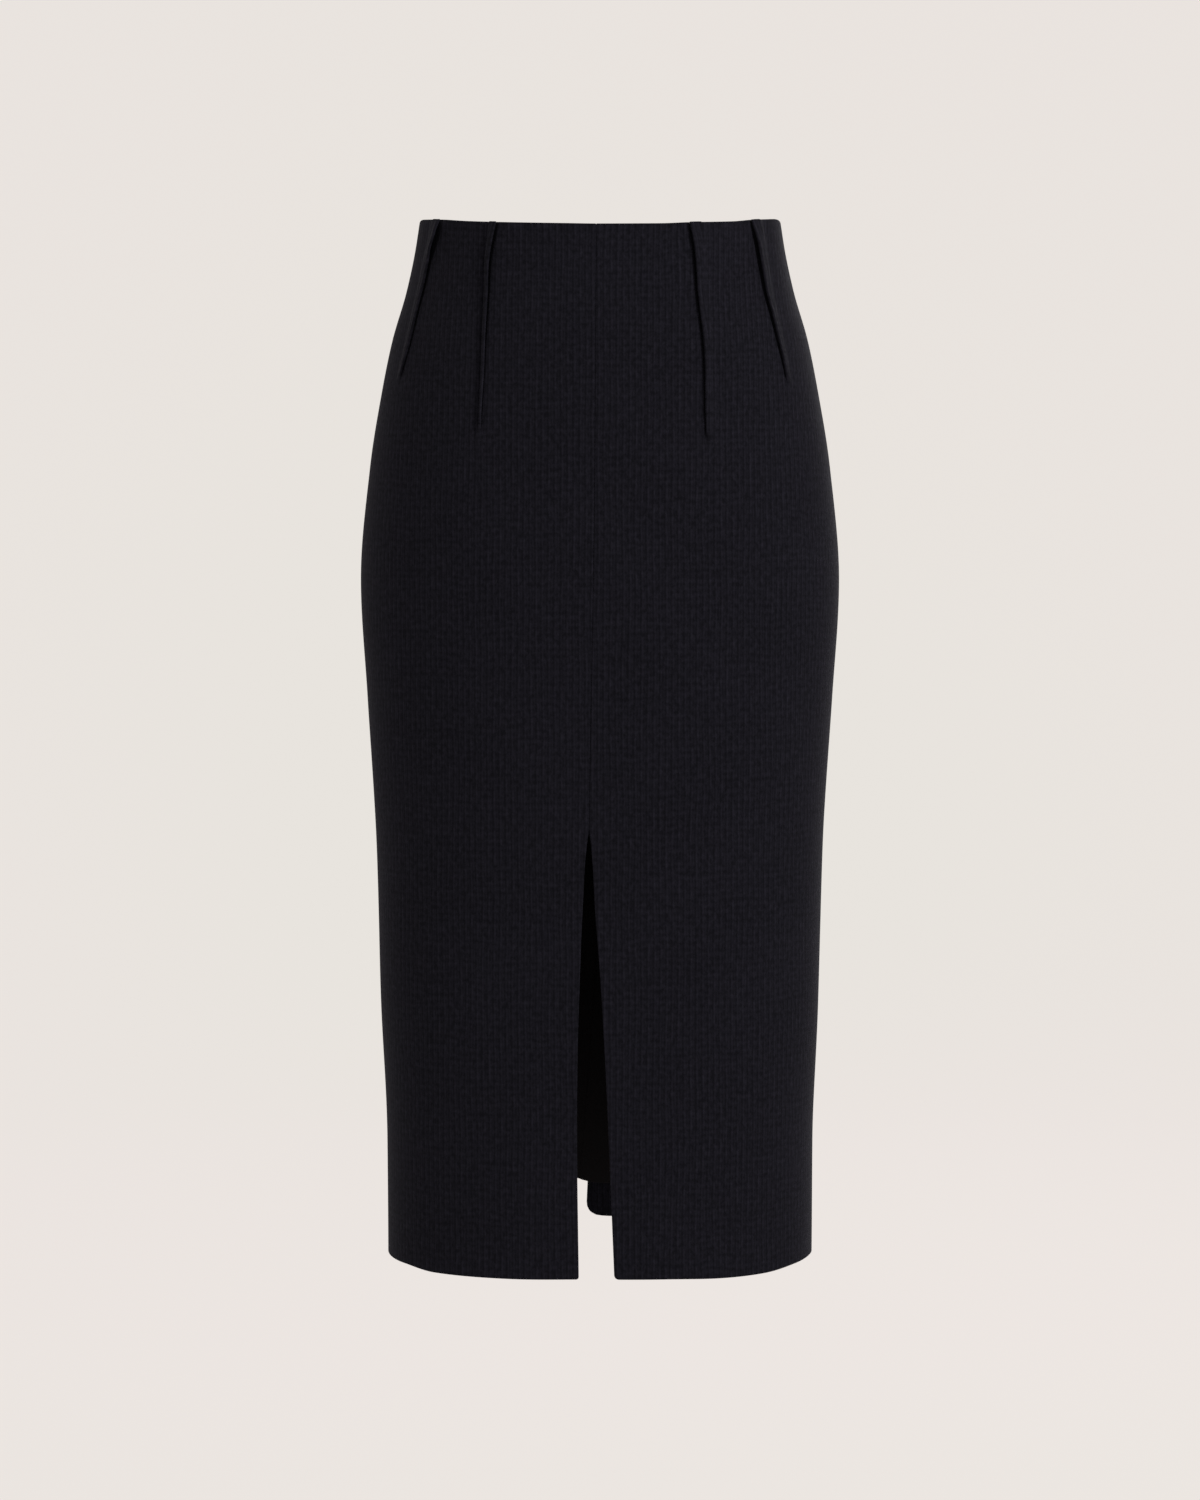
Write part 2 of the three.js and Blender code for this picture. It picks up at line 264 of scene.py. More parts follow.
SWELL_WIDE = 62
SWELL_LONG = 105
CREASE_REACH = 0.45  # how soon a crease fades towards its ends, as a share of its length
CREASE_GONE = 3  # widths past its length, a crease is left out
LOOK = 2.5  # how far to each side the direction of the cloth is measured


def crease_depth(face, down, along):
    depth = 0.0
    for middle, level, length, lean, sink, width in CREASES[face]:
        gone = length + CREASE_GONE * width
        if abs(down - level) > gone or abs(along - middle) > gone:
            continue
        turn = radians(lean)
        run = (down - level) * cos(turn) + (along - middle) * sin(turn)
        off = (along - middle) * cos(turn) - (down - level) * sin(turn)
        depth += sink * exp(-((off / width) ** 2) - (run / (CREASE_REACH * length)) ** 2)
    return depth


def spot(face, down, along, out):
    """A point in metres, out from the cloth's face at a height and a distance along it."""
    x, y = on_section(face, down, along)
    ahead_x, ahead_y = on_section(face, down, along + LOOK)
    behind_x, behind_y = on_section(face, down, along - LOOK)
    way = Vector((ahead_x - behind_x, ahead_y - behind_y)).normalized()
    outward = Vector((way.y, -way.x)) if face == "front" else Vector((-way.y, way.x))
    free = SWELL_AT_WAIST + (1 - SWELL_AT_WAIST) * min(down, HEM) / HEM
    swell = SWELL * free * noise.noise(Vector((x / SWELL_WIDE, y / SWELL_WIDE, down / SWELL_LONG)))
    out += swell - crease_depth(face, down, along)
    ahead = -y / section["front"](down) if face == "front" else 0
    fade = max(0, 1 - down / DIP_FADES_AT)
    drop = down + WAIST_DIP * ahead * fade
    from_side = (girth(face, down) - abs(along)) / SIDE_DIP_WIDE
    drop += SIDE_DIP * exp(-(from_side**2) - max(down, 0) / SIDE_DIP_FADES)
    if face == "front":
        drop -= waist_rise(along) * exp(-max(down, 0) / WAIST_RISE_FADES)
        drop += hem_drop(along) * exp(-(HEM - down) / HEM_DROP_FADES)
    else:
        from_vent = (along - VENT_PLACE) / VENT_LIFT_WIDE
        drop -= VENT_LIFT * exp(-(from_vent**2) - (HEM - down) / WAIST_RISE_FADES)
    return Vector((x + outward.x * out, y + outward.y * out, -drop)) * MM


def spaced(start, end, cells):
    """Distances along the cloth between two columns, without the first and the last of them."""
    return [start + (end - start) * i / cells for i in range(1, cells)]


def rows_between(top, bottom, pitch):
    """Heights of the rows of points of a piece, close together at both of its edges."""
    cells = round((bottom - top - 2 * RIM[-1]) / pitch)
    upper = [top + rim for rim in RIM]
    lower = [bottom - rim for rim in reversed(RIM)]
    return upper + spaced(upper[-1], lower[0], cells) + lower


def plain(away, thick):
    """One column of single cloth: outer and inner point as away from the middle and out, and u."""
    return ((away, 0.0), (away, -thick), away)


def round_over(distance, radius, half):
    """How much of the cloth's half thickness is left beside a rounded edge."""
    if distance >= radius:
        return 1.0
    return 1 - (radius - sqrt(max(radius**2 - (radius - distance) ** 2, 0))) / half


def turned(columns, down, edges):
    """Rounds the edges and the corners of one row of columns.

    edges holds start and end of the row, top and bottom of the piece, half the cloth's thickness,
    the rounding of the start and of the end, and the radius of the corners as they lie flat.
    """
    row = []
    for (outer_away, outer_out), (inner_away, inner_out), u in columns:
        from_start = inner_away - edges["start"]
        from_end = edges["end"] - inner_away
        from_top = down - edges["top"]
        from_bottom = edges["bottom"] - down
        across = min(from_start, from_end)
        upright = min(from_top, from_bottom)
        at_start = from_start < from_end
        at_top = from_top < from_bottom
        corner = edges["corners"][(at_start, at_top)]
        new_across = across
        new_upright = upright
        distance = min(across, upright)
        if across < corner and upright < corner:
            sx = 1 - across / corner
            sy = 1 - upright / corner
            longest = max(sx, sy)
            pull = longest / max(hypot(sx, sy), NEARLY_NOUGHT)
            new_across = corner * (1 - sx * pull)
            new_upright = corner * (1 - sy * pull)
            distance = corner * (1 - longest)
        side_round = edges["start_round"] if at_start else edges["end_round"]
        total = max(across + upright, NEARLY_NOUGHT)
        radius = (side_round * upright + edges["half"] * across) / total
        radius = min(radius, FULL_ROUND * edges["half"])
        left = round_over(distance, radius, edges["half"])
        mid_away = (outer_away + inner_away) / 2
        mid_out = (outer_out + inner_out) / 2
        shift = (new_across - across) * (1 if at_start else -1)
        lift = (new_upright - upright) * (1 if at_top else -1)
        outer = (mid_away + (outer_away - mid_away) * left + shift,
                 mid_out + (outer_out - mid_out) * left)
        inner = (mid_away + (inner_away - mid_away) * left + shift,
                 mid_out + (inner_out - mid_out) * left)
        row.append((outer, inner, u, down + lift))
    return row


def placed(name, bm, material):
    """A bmesh made into a piece of the scene, with its place in its mesh."""
    mesh = bpy.data.meshes.new(name)
    bm.to_mesh(mesh)
    bm.free()
    mesh.materials.append(material)
    piece = bpy.data.objects.new(name, mesh)
    bpy.context.scene.collection.objects.link(piece)
    return piece


def cloth(name, face, side, rows, material):
    """A thin closed shell: a grid laid on the cloth's face, a copy inside it and a rim between."""
    flip = (side > 0) == (face == "back")
    points = []
    for row in rows:
        ordered = row[::-1] if flip else row
        for outer, inner, u, down in ordered:
            points.append((
                spot(face, down, side * outer[0], outer[1]),
                spot(face, down, side * inner[0], inner[1]),
                (side * u * MM, -down * MM),
            ))
    across = len(rows[0]) - 1
    upright = len(rows) - 1
    bm = bmesh.new()
    bmesh.ops.create_grid(bm, x_segments=across, y_segments=upright, size=1)
    number = bm.verts.layers.int.new("number")
    for vert in bm.verts:
        column = round((vert.co.x + 1) / 2 * across)
        row = round((1 - vert.co.y) / 2 * upright)
        vert[number] = row * (across + 1) + column
    outer_faces = bm.faces[:]
    copied = bmesh.ops.duplicate(bm, geom=outer_faces)["geom"]
    inner_faces = [item for item in copied if isinstance(item, bmesh.types.BMFace)]
    inner_verts = [item for item in copied if isinstance(item, bmesh.types.BMVert)]
    bmesh.ops.reverse_faces(bm, faces=inner_faces)
    bmesh.ops.translate(bm, verts=inner_verts, vec=(0, 0, -LAYERS_APART))
    border = [edge for edge in bm.edges if edge.is_boundary]
    bmesh.ops.bridge_loops(bm, edges=border)
    bmesh.ops.recalc_face_normals(bm, faces=bm.faces)
    inside = set(inner_verts)
    for vert in bm.verts:
        point = points[vert[number]]
        vert.co = point[1] if vert in inside else point[0]
    flat = bm.loops.layers.uv.new("cut")
    for surface in bm.faces:
        surface.smooth = True
        for loop in surface.loops:
            loop[flat].uv = points[loop.vert[number]][2]
    bm.verts.layers.int.remove(number)
    return placed(name, bm, material)


def thickness(down):
    """The single cloth in the middle of a panel, and more layers at the waist and the hem."""
    return CLOTH_THICK + TURNED_EXTRA * (exp(-down / WAIST_FULL) + exp(-(HEM - down) / HEM_FULL))


# The tucks by side, with the skirt's own right as -1 and the inner tuck first. Each row of a tuck
# has a height, where its free edge lies along the cloth, how wide the flap is from there to the
# stitching at its root, how far the free edge stands off the panel, and how deep the stitching
# sinks. The inner tuck on the right has a root that shows as a groove. The others are pressed.
TUCKS = {
    -1: [
        [
            (0, 69.6, 6.3, 2.4, 0.7),
            (13, 72.6, 4.8, 2.4, 0.9),
            (33, 75.4, 3.8, 2.0, 1.2),
            (49, 75.8, 3.4, 1.4, 1.5),
            (78, 77.0, 2.8, 0.9, 1.8),
            (107, 77.8, 2.5, 0.5, 1.9),
            (136, 79.4, 2.0, 0.4, 1.6),
            (161, 80.8, 0.0, 0.2, 0.5),
        ],
        [
            (0, 117.8, 10.0, 2.2, 0),
            (7, 119.8, 9.4, 4.2, 0),
            (18, 124.2, 8.3, 4.3, 0),
            (30, 129.6, 7.3, 1.6, 0),
            (42, 132.6, 6.6, 1.4, 0),
            (61, 138.2, 5.2, 1.1, 0),
            (86, 143.4, 3.8, 0.7, 0),
            (99, 147.8, 2.5, 0.5, 0),
            (117, 154.6, 0.0, 0.3, 0),
        ],
    ],
    1: [
        [
            (0, 65.2, 8.8, 1.3, 0),
            (8, 66.9, 8.2, 2.2, 0),
            (17, 68.4, 7.6, 2.4, 0),
            (33, 70.0, 6.6, 2.3, 0),
            (47, 70.9, 5.8, 2.1, 0),
            (66, 73.0, 4.8, 2.0, 0),
            (81, 74.9, 4.2, 1.8, 0),
            (101, 76.2, 3.5, 1.7, 0),
            (137, 76.8, 2.4, 1.4, 0),
            (162, 79.2, 0.0, 0.4, 0),
        ],
        [
            (0, 115.4, 8.8, 0.7, 0),
            (5, 116.7, 8.5, 1.2, 0),
            (16, 119.6, 7.8, 2.5, 0),
            (33, 123.0, 6.8, 2.7, 0),
            (51, 126.9, 5.4, 1.9, 0),
            (65, 131.0, 4.4, 1.8, 0),
            (82, 135.2, 3.5, 1.5, 0),
            (98, 139.4, 2.5, 1.1, 0),
            (123, 145.6, 0.0, 0.2, 0),
        ],
    ],
}
FLAP_THICK = 1.9
FLAP_GONE = 1.7  # a flap narrower than this flattens out into the panel
LAYER_CELLS = 4
TIP_TURNS = (-62, -31, 0, 31, 62)
FLAP_RUNS_OUT = 0.45  # the share of its thickness that is left where it flattens out
FLAP_CURL = 1.2
VALLEY = 1.5  # how far the panel sinks under the free edge
VALLEY_FULL_AT = 2  # how far the free edge stands off there
FLAP_LIFT = 0.3  # the folded top of a flap stands a little above the waist edge
FLAP_LIFT_FADES = 3.0
FLAP_TOP = 3.6  # height of the free edge over the panel, where the lift has rounded off
TUCK_FLAT = (6.5, -7.5)  # where the columns of a tuck lie when it has run out, from the root
# The profile at the root, as place and share of the flap's height: pressed smooth, or grooved by
# the stitching, with how deep the groove sinks at each point.
SMOOTH_ROOT = [(0.1, 0.97), (-0.8, 0.86), (-1.7, 0.68), (-2.6, 0.48), (-3.6, 0.29), (-4.8, 0.13)]
SHARP_ROOT = [(0.4, 0.94), (0.1, 0.74), (-0.05, 0.3), (-0.3, 0), (-0.9, 0), (-2.0, 0)]
ROOT_SINKS = (0, 0.05, 0.55, 1, 0.8, 0.4)


def tuck_columns(tuck, down, thick):
    """The columns across one tuck, from the panel under its free edge to the panel beside it."""
    edge, width, stand, sunk = [line(down) for line in tuck["lines"]]
    if down > tuck["length"]:
        width = 0
    fold = share_of(width, FLAP_GONE)
    fold = fold * fold * (3 - 2 * fold)
    root = edge + width
    wide = max(width, FLAP_GONE)
    flap = FLAP_THICK * (FLAP_RUNS_OUT + (1 - FLAP_RUNS_OUT) * fold)
    tip = max(wide - flap / 2, flap / 2)
    valley = VALLEY * min(stand / VALLEY_FULL_AT, 1)

    def under(a):
        return stand * max(a / wide, 0) ** FLAP_CURL

    columns = [
        ((wide + 1.9, 0.0), (wide + 1.9, -thick), -1),
        ((wide + 0.8, -0.05 * valley), (wide + 0.8, -thick), -1),
        ((wide + 0.3, -0.35 * valley), (wide + 0.3, -thick), -1),
        ((wide - 0.1, -valley), (wide - 0.1, -thick - 0.4 * valley), -1),
        ((0.5 * wide, -valley), (0.5 * wide, -thick - 0.4 * valley), -1),
        ((0.5, -0.7 * valley), (0.6, -thick), -1),
        ((0.35, -0.2 * valley), (0.3, -0.8 * thick), 1),
    ]
    layer = [0.6 + (tip - 0.6) * i / LAYER_CELLS for i in range(LAYER_CELLS + 1)]
    for a in layer:
        columns.append(((a, under(a)), (a, under(a) + flap * 0.48), 1))
    for turn in TIP_TURNS:
        angle = radians(turn)
        middle = under(tip) + flap / 2
        outer = (tip + cos(angle) * flap / 2, middle + sin(angle) * flap / 2)
        columns.append((outer, (tip + 0.03 * cos(angle), middle + 0.03 * sin(angle)), 1))
    for a in reversed(layer):
        columns.append(((a, under(a) + flap), (a, under(a) + flap * 0.52), 1))
    top = under(0.4) + flap
    grooved = min(sunk, 1)
    for soft, hard, sink in zip(SMOOTH_ROOT, SHARP_ROOT, ROOT_SINKS):
        a = soft[0] + (hard[0] - soft[0]) * grooved
        share = soft[1] + (hard[1] - soft[1]) * grooved
        way = 1 if a > 0 else -1
        inner_out = 0.2 * top if a > 0 else -thick - sink * sunk * 0.6
        columns.append(((a, top * share - sink * sunk), (a, inner_out), way))
    columns.append(((-6.2 + 3.0 * grooved, top * 0.03), (-6.2 + 3.0 * grooved, -thick), -1))
    columns.append(((-7.5, 0.0), (-7.5, -thick), -1))
    last = len(columns) - 1
    finished = []
    for i, (outer, inner, way) in enumerate(columns):
        level = TUCK_FLAT[0] + (TUCK_FLAT[1] - TUCK_FLAT[0]) * i / last
        outer_a = level + (outer[0] - level) * fold
        inner_a = level + (inner[0] - level) * fold
        outer_out = outer[1] * fold
        inner_out = -thick + (inner[1] + thick) * fold
        u = root - outer_a
        if way > 0:
            u = root + (2 * fold - 1) * outer_a
        finished.append(((root - outer_a, outer_out), (root - inner_a, inner_out), u))
    return finished


tucks = {
    way: [
        {"lines": [curve(rows, column) for column in (1, 2, 3, 4)], "length": rows[-1][0]}
        for rows in pair
    ]
    for way, pair in TUCKS.items()
}
front_seam = [curve(FRONT_SEAM, 1), curve(FRONT_SEAM, 2)]
TO_TUCK_CELLS = 15
BETWEEN_CELLS = 9
TO_SIDE_CELLS = 10
SLIT_CORNER = {-1: 1.9, 1: 3.2}


def front_rows(side):
    rows = []
    for down in rows_between(0, HEM, ROW_PITCH):
        thick = thickness(down)
        start = side * front_seam[0](down) + front_seam[1](down)
        end = girth("front", down)
        inner, outer = [tuck_columns(tuck, down, thick) for tuck in tucks[side]]
        aways = [start + rim for rim in RIM]
        aways += spaced(aways[-1], inner[0][1][0], TO_TUCK_CELLS)
        columns = [plain(away, thick) for away in aways] + inner
        aways = spaced(inner[-1][1][0], outer[0][1][0], BETWEEN_CELLS)
        columns += [plain(away, thick) for away in aways] + outer
        aways = [end - rim for rim in reversed(RIM)]
        aways = spaced(outer[-1][1][0], aways[0], TO_SIDE_CELLS) + aways
        columns += [plain(away, thick) for away in aways]
        opened = share_of(down - SLIT_TOP, OPENS_OVER)
        edges = {
            "start": start,
            "end": end,
            "top": 0,
            "bottom": HEM,
            "half": thick / 2,
            "start_round": SEAM_ROUND + (thick / 2 - SEAM_ROUND) * opened,
            "end_round": SEAM_ROUND,
            "corners": {
                (True, True): FLAT_CORNER,
                (True, False): SLIT_CORNER[side],
                (False, True): SIDE_CORNER,
                (False, False): FLAT_CORNER,
            },
        }
        lifted = []
        for outer_point, inner_point, u, level in turned(columns, down, edges):
            bulge = sin(pi * share_of(outer_point[1], FLAP_TOP))
            level -= FLAP_LIFT * bulge * exp(-down / FLAP_LIFT_FADES)
            lifted.append((outer_point, inner_point, u, level))
        rows.append(lifted)
    return rows


def shader(tree, kind, **settings):
    """Adds a node, sets its properties, and fills its sockets from the dict called inputs."""
    made = tree.nodes.new(kind)
    inputs = settings.pop("inputs", {})
    for key, value in settings.items():
        setattr(made, key, value)
    for key, value in inputs.items():
        if isinstance(value, bpy.types.NodeSocket):
            tree.links.new(value, made.inputs[key])
        else:
            made.inputs[key].default_value = value
    return made


def math_node(tree, operation, first, second=0.0):
    made = shader(tree, "ShaderNodeMath", operation=operation, inputs={0: first, 1: second})
    return made.outputs[0]


def blend_colours(tree, factor, first, second, blend_type="MIX"):
    made = shader(
        tree,
        "ShaderNodeMix",
        data_type="RGBA",
        blend_type=blend_type,
        inputs={0: factor, 6: first, 7: second},
    )
    return made.outputs[2]


def range_node(tree, value, low, high, to_low=0.0, to_high=1.0):
    made = shader(
        tree,
        "ShaderNodeMapRange",
        inputs={0: value, 1: low, 2: high, 3: to_low, 4: to_high},
    )
    return made.outputs[0]


def stretch_node(tree, vector, scale):
    made = shader(tree, "ShaderNodeVectorMath", operation="MULTIPLY", inputs={0: vector, 1: scale})
    return made.outputs[0]


def noise_node(tree, vector, scale, detail, roughness):
    made = shader(
        tree,
        "ShaderNodeTexNoise",
        inputs={
            "Vector": vector,
            "Scale": scale,
            "Detail": detail,
            "Roughness": roughness,
        },
    )
    return made.outputs["Fac"]


# The crepe's weave, in the metres of the cut: fine upright ribs about two millimetres apart, every
# second one fuller, with a fainter rib across them, broken up by the pebbled grain of the yarn.
RIB_WANDER = 1.8  # in ribs, over the cloth's slow unevenness
CROSS_RIBS = 204  # per metre
UNEVEN_SCALE = 30
YARN_SCALE = 330
PEBBLE_SCALE = 780
SHADE_SCALE = 16
crepe_weave = bpy.data.node_groups.new("crepe_weave", "ShaderNodeTree")
crepe_weave.interface.new_socket("Cut", in_out="INPUT", socket_type="NodeSocketVector")
crepe_weave.interface.new_socket("Ribs per metre", in_out="INPUT", socket_type="NodeSocketFloat")
crepe_weave.interface.new_socket("Height", in_out="OUTPUT", socket_type="NodeSocketFloat")
crepe_weave.interface.new_socket("Shade and tone", in_out="OUTPUT", socket_type="NodeSocketFloat")
weave_in = crepe_weave.nodes.new("NodeGroupInput")
weave_out = crepe_weave.nodes.new("NodeGroupOutput")
cut = weave_in.outputs["Cut"]
split_cut = shader(crepe_weave, "ShaderNodeSeparateXYZ", inputs={0: cut})


def mixed(parts):
    """The sum of values, each times its share."""
    total = None
    for value, share in parts:
        part = math_node(crepe_weave, "MULTIPLY", value, share)
        total = part if total is None else math_node(crepe_weave, "ADD", total, part)
    return total


def rib_wave(turns):
    """A row of ribs from nought to one, with a rib for every whole turn."""
    angle = math_node(crepe_weave, "MULTIPLY", turns, 2 * pi)
    return range_node(crepe_weave, math_node(crepe_weave, "SINE", angle), -1, 1)


slow = noise_node(crepe_weave, stretch_node(crepe_weave, cut, (1, 0.4, 1)), UNEVEN_SCALE, 2, 0.5)
wander = math_node(crepe_weave, "MULTIPLY", slow, RIB_WANDER)
rib_count = math_node(
    crepe_weave, "MULTIPLY", split_cut.outputs[0], weave_in.outputs["Ribs per metre"]
)
rib_turns = math_node(crepe_weave, "ADD", rib_count, wander)
cross_count = math_node(crepe_weave, "MULTIPLY", split_cut.outputs[1], CROSS_RIBS)
cross_turns = math_node(crepe_weave, "ADD", cross_count, wander)
half_turns = math_node(crepe_weave, "MULTIPLY", rib_turns, 0.5)
ribs = mixed([(rib_wave(rib_turns), 0.5), (rib_wave(half_turns), 0.5)])
slub = noise_node(crepe_weave, stretch_node(crepe_weave, cut, (1, 0.35, 1)), YARN_SCALE, 2, 0.5)
broken = math_node(crepe_weave, "MULTIPLY", ribs, range_node(crepe_weave, slub, 0.3, 0.65, 0.3, 1))
grain = noise_node(crepe_weave, stretch_node(crepe_weave, cut, (1, 0.8, 1)), YARN_SCALE, 3, 0.62)
pebble = shader(
    crepe_weave,
    "ShaderNodeTexVoronoi",
    inputs={"Vector": stretch_node(crepe_weave, cut, (1, 0.7, 1)), "Scale": PEBBLE_SCALE},
).outputs["Distance"]
height = mixed(
    [
        (broken, 0.42),
        (rib_wave(cross_turns), 0.08),
        (range_node(crepe_weave, grain, 0.3, 0.7), 0.34),
        (range_node(crepe_weave, pebble, 0.75, 0), 0.16),
    ]
)
broad = noise_node(crepe_weave, cut, SHADE_SCALE, 2, 0.5)
# Painted shade: the tone is mostly the weave's height, so the colour is darker in its hollows and
# lighter on its raised yarn, with a little slow random tone mixed in.
shade_and_tone = mixed(
    [
        (range_node(crepe_weave, height, 0.22, 0.86), 0.92),
        (range_node(crepe_weave, broad, 0.3, 0.7), 0.08),
    ]
)
crepe_weave.links.new(height, weave_out.inputs["Height"])
crepe_weave.links.new(shade_and_tone, weave_out.inputs["Shade and tone"])


def finish_material(name):
    """A material with a Principled shader, ready for its own nodes."""
    made = bpy.data.materials.new(name)
    made.use_nodes = True
    return made, made.node_tree, made.node_tree.nodes["Principled BSDF"]


def cut_map(tree):
    """The place on the flat cut of the cloth, in metres."""
    return shader(tree, "ShaderNodeUVMap", uv_map="cut").outputs["UV"]


def raised(tree, surface, height, strength, distance):
    """Raises a surface by the height that its nodes give."""
    made = shader(
        tree,
        "ShaderNodeBump",
        inputs={"Height": height, "Strength": strength, "Distance": distance},
    )
    tree.links.new(made.outputs["Normal"], surface.inputs["Normal"])


# The crepe's colour runs from painted shade in the weave's hollows to painted light on its raised
# yarn.
CREPE_HOLLOW_SHADE = (0.0030, 0.0029, 0.0043, 1)
CREPE_LIT = (0.0104, 0.0097, 0.0147, 1)
CREPE_RIBS = 465.0  # per metre
CREPE_ROUGHNESS = (0.98, 0.86)  # between the yarns and on them
CREPE_BUMP = 0.6
CREPE_RELIEF = 0.0005
CREPE_SPECULAR = 0.045
CREPE_FUZZ = 0.022
CREPE_FUZZ_ROUGHNESS = 0.45
CREPE_FUZZ_TINT = (0.7, 0.68, 0.86, 1)
crepe, tree, surface = finish_material("crepe")
uv = cut_map(tree)
weave = shader(
    tree,
    "ShaderNodeGroup",
    node_tree=crepe_weave,
    inputs={"Cut": uv, "Ribs per metre": CREPE_RIBS},
)
# Base colour: painted shade in the weave's hollows, painted light on the raised yarn.
tree.links.new(
    blend_colours(tree, weave.outputs["Shade and tone"], CREPE_HOLLOW_SHADE, CREPE_LIT), surface.inputs["Base Color"]
)
tree.links.new(
    range_node(tree, weave.outputs["Shade and tone"], 0, 1, *CREPE_ROUGHNESS), surface.inputs["Roughness"]
)
raised(tree, surface, weave.outputs["Height"], CREPE_BUMP, CREPE_RELIEF)
surface.inputs["Specular IOR Level"].default_value = CREPE_SPECULAR
surface.inputs["Sheen Weight"].default_value = CREPE_FUZZ
surface.inputs["Sheen Roughness"].default_value = CREPE_FUZZ_ROUGHNESS
surface.inputs["Sheen Tint"].default_value = CREPE_FUZZ_TINT

# The cut of each front panel is its widest girth by its length, and the flaps of the tucks are
# part of its area.
for side, name in ((1, "front_left"), (-1, "front_right")):
    panel = cloth("cloth_" + name, "front", side, front_rows(side), crepe)
    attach(panel, "skirt")
    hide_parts(name)

# The back panels are shaped by one dart each, closed by a concealed zip whose two turned lips meet
# over the coil, sewn together below it, and parted again at a short vent with rounded corners.
BACK_SEAM = [  # down, how far the seam lies along the cloth, how far the panels part from it
    (0, 0, 0),
    (300, -2, 0),
    (540, -7, 0),
    (640, -13.8, 3.2),
    (HEM, -21.1, 6),
]
ZIP_END = 196
ZIP_CLOSES_OVER = 10
ZIP_LIP_GAP = 0.2
ZIP_TOP_CORNER = 1.2
HOOKED = (5, 14)  # above the slider the lips are held together
VENT_TOP = 540
VENT_CORNER = {1: 10.0, -1: 7.0}
DART = [(0, 78.0, 0.6), (60, 76.5, 0.55), (120, 74.0, 0.35), (138, 73.2, 0.0)]
DART_SIDES = (2.6, 1.3, 0.7, 0.4, 0.18, 0, -0.18, -0.4, -0.7, -1.3, -2.6)
DART_WIDTH = 0.42
back_seam = [curve(BACK_SEAM, 1), curve(BACK_SEAM, 2)]
dart_lines = [curve(DART, 1), curve(DART, 2)]
TO_DART_CELLS = 18
PAST_DART_CELLS = 34


def back_rows(side):
    rows = []
    for down in rows_between(0, HEM, ROW_PITCH):
        thick = thickness(down)
        lip = 1 - share_of(down - ZIP_END, ZIP_CLOSES_OVER)
        lip *= share_of(down - HOOKED[0], HOOKED[1] - HOOKED[0])
        gap = ZIP_LIP_GAP * lip
        start = side * back_seam[0](down) + back_seam[1](down) + gap
        end = girth("back", down)
        place = dart_lines[0](down)
        deep = dart_lines[1](down) if down < DART[-1][0] else 0
        dart = []
        for off in DART_SIDES:
            sink = -deep * exp(-((off / DART_WIDTH) ** 2))
            dart.append(((place - off, sink), (place - off, -thick), place - off))
        aways = [start + rim for rim in RIM]
        aways += spaced(aways[-1], place - DART_SIDES[0], TO_DART_CELLS)
        columns = [plain(away, thick) for away in aways] + dart
        aways = [end - rim for rim in reversed(RIM)]
        aways = spaced(place - DART_SIDES[-1], aways[0], PAST_DART_CELLS) + aways
        columns += [plain(away, thick) for away in aways]
        opened = max(lip, share_of(down - VENT_TOP, OPENS_OVER))
        edges = {
            "start": start,
            "end": end,
            "top": 0,
            "bottom": HEM,
            "half": thick / 2,
            "start_round": SEAM_ROUND + (thick / 2 - SEAM_ROUND) * opened,
            "end_round": SEAM_ROUND,
            "corners": {
                (True, True): ZIP_TOP_CORNER,
                (True, False): VENT_CORNER[side],
                (False, True): SIDE_CORNER,
                (False, False): FLAT_CORNER,
            },
        }
        rows.append(turned(columns, down, edges))
    return rows


for side, name in ((1, "back_left"), (-1, "back_right")):
    panel = cloth("cloth_" + name, "back", side, back_rows(side), crepe)
    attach(panel, "skirt")
    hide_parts(name)

# The lining is a thin brown-black satin, sewn in just below the waist edge and otherwise hanging
# free. Its hem is folded twice and stitched, hangs a little unevenly, and ends above the skirt's.
LINING_TOP = 4
LINING_HEM = 716
LINING_SLIT_TOP = 405
LINING_SET_BACK = 14
LINING_SLIT_OPENS = 60
LINING_THICK = 0.4
LINING_HEM_DEEP = 20
LINING_HEM_THICK = 0.28
LINING_HEM_STEP = 0.4
LINING_PITCH = 7
LINING_CELLS = 36
LINING_FOLDS = 0.8
LINING_FREE = (40, 260)  # the folds start at the first height and are full at the second
LINING_INWARD = 0.6  # how far the folds lie to the inside, as a share of their depth
FOLD_BROAD = (17, 230)  # width and length
FOLD_FINE = (8, 150)
LINING_SEAM_SIDES = (-1.2, -0.5, -0.2, 0, 0.2, 0.5, 1.2)
LINING_SEAM_SINK = 0.2
LINING_SEAM_WIDTH = 0.35
LINING_RIM = 0.5
LINING_CORNER = 0.8
LINING_SINK = [(0, 2.5), (4, 2.55), (14, 2.75), (40, 3.4), (80, 3.9), (HEM, 3.9)]
LINING_PULL_LONG = 150  # how high above the hem its unevenness starts
LINING_RISES = {  # where the lining's hem pulls up: place along the cloth, rise and width
    "front": [(-60, 1.4, 26), (72, 1.8, 30), (140, 1.2, 20)],
    "back": [(-26, 4.4, 9), (-90, 1.2, 22), (66, 1.6, 24), (150, 1.1, 26)],
}
lining_sink = curve(LINING_SINK, 1)


def smooth_step(value, low, high):
    t = share_of(value - low, high - low)
    return t * t * (3 - 2 * t)


def thin_edges(start, end, top, bottom, half, corner):
    """The edges of a row of thin cloth, which are all rounded alike."""
    return {
        "start": start,
        "end": end,
        "top": top,
        "bottom": bottom,
        "half": half,
        "start_round": half,
        "end_round": half,
        "corners": dict.fromkeys(product((True, False), repeat=2), corner),
    }


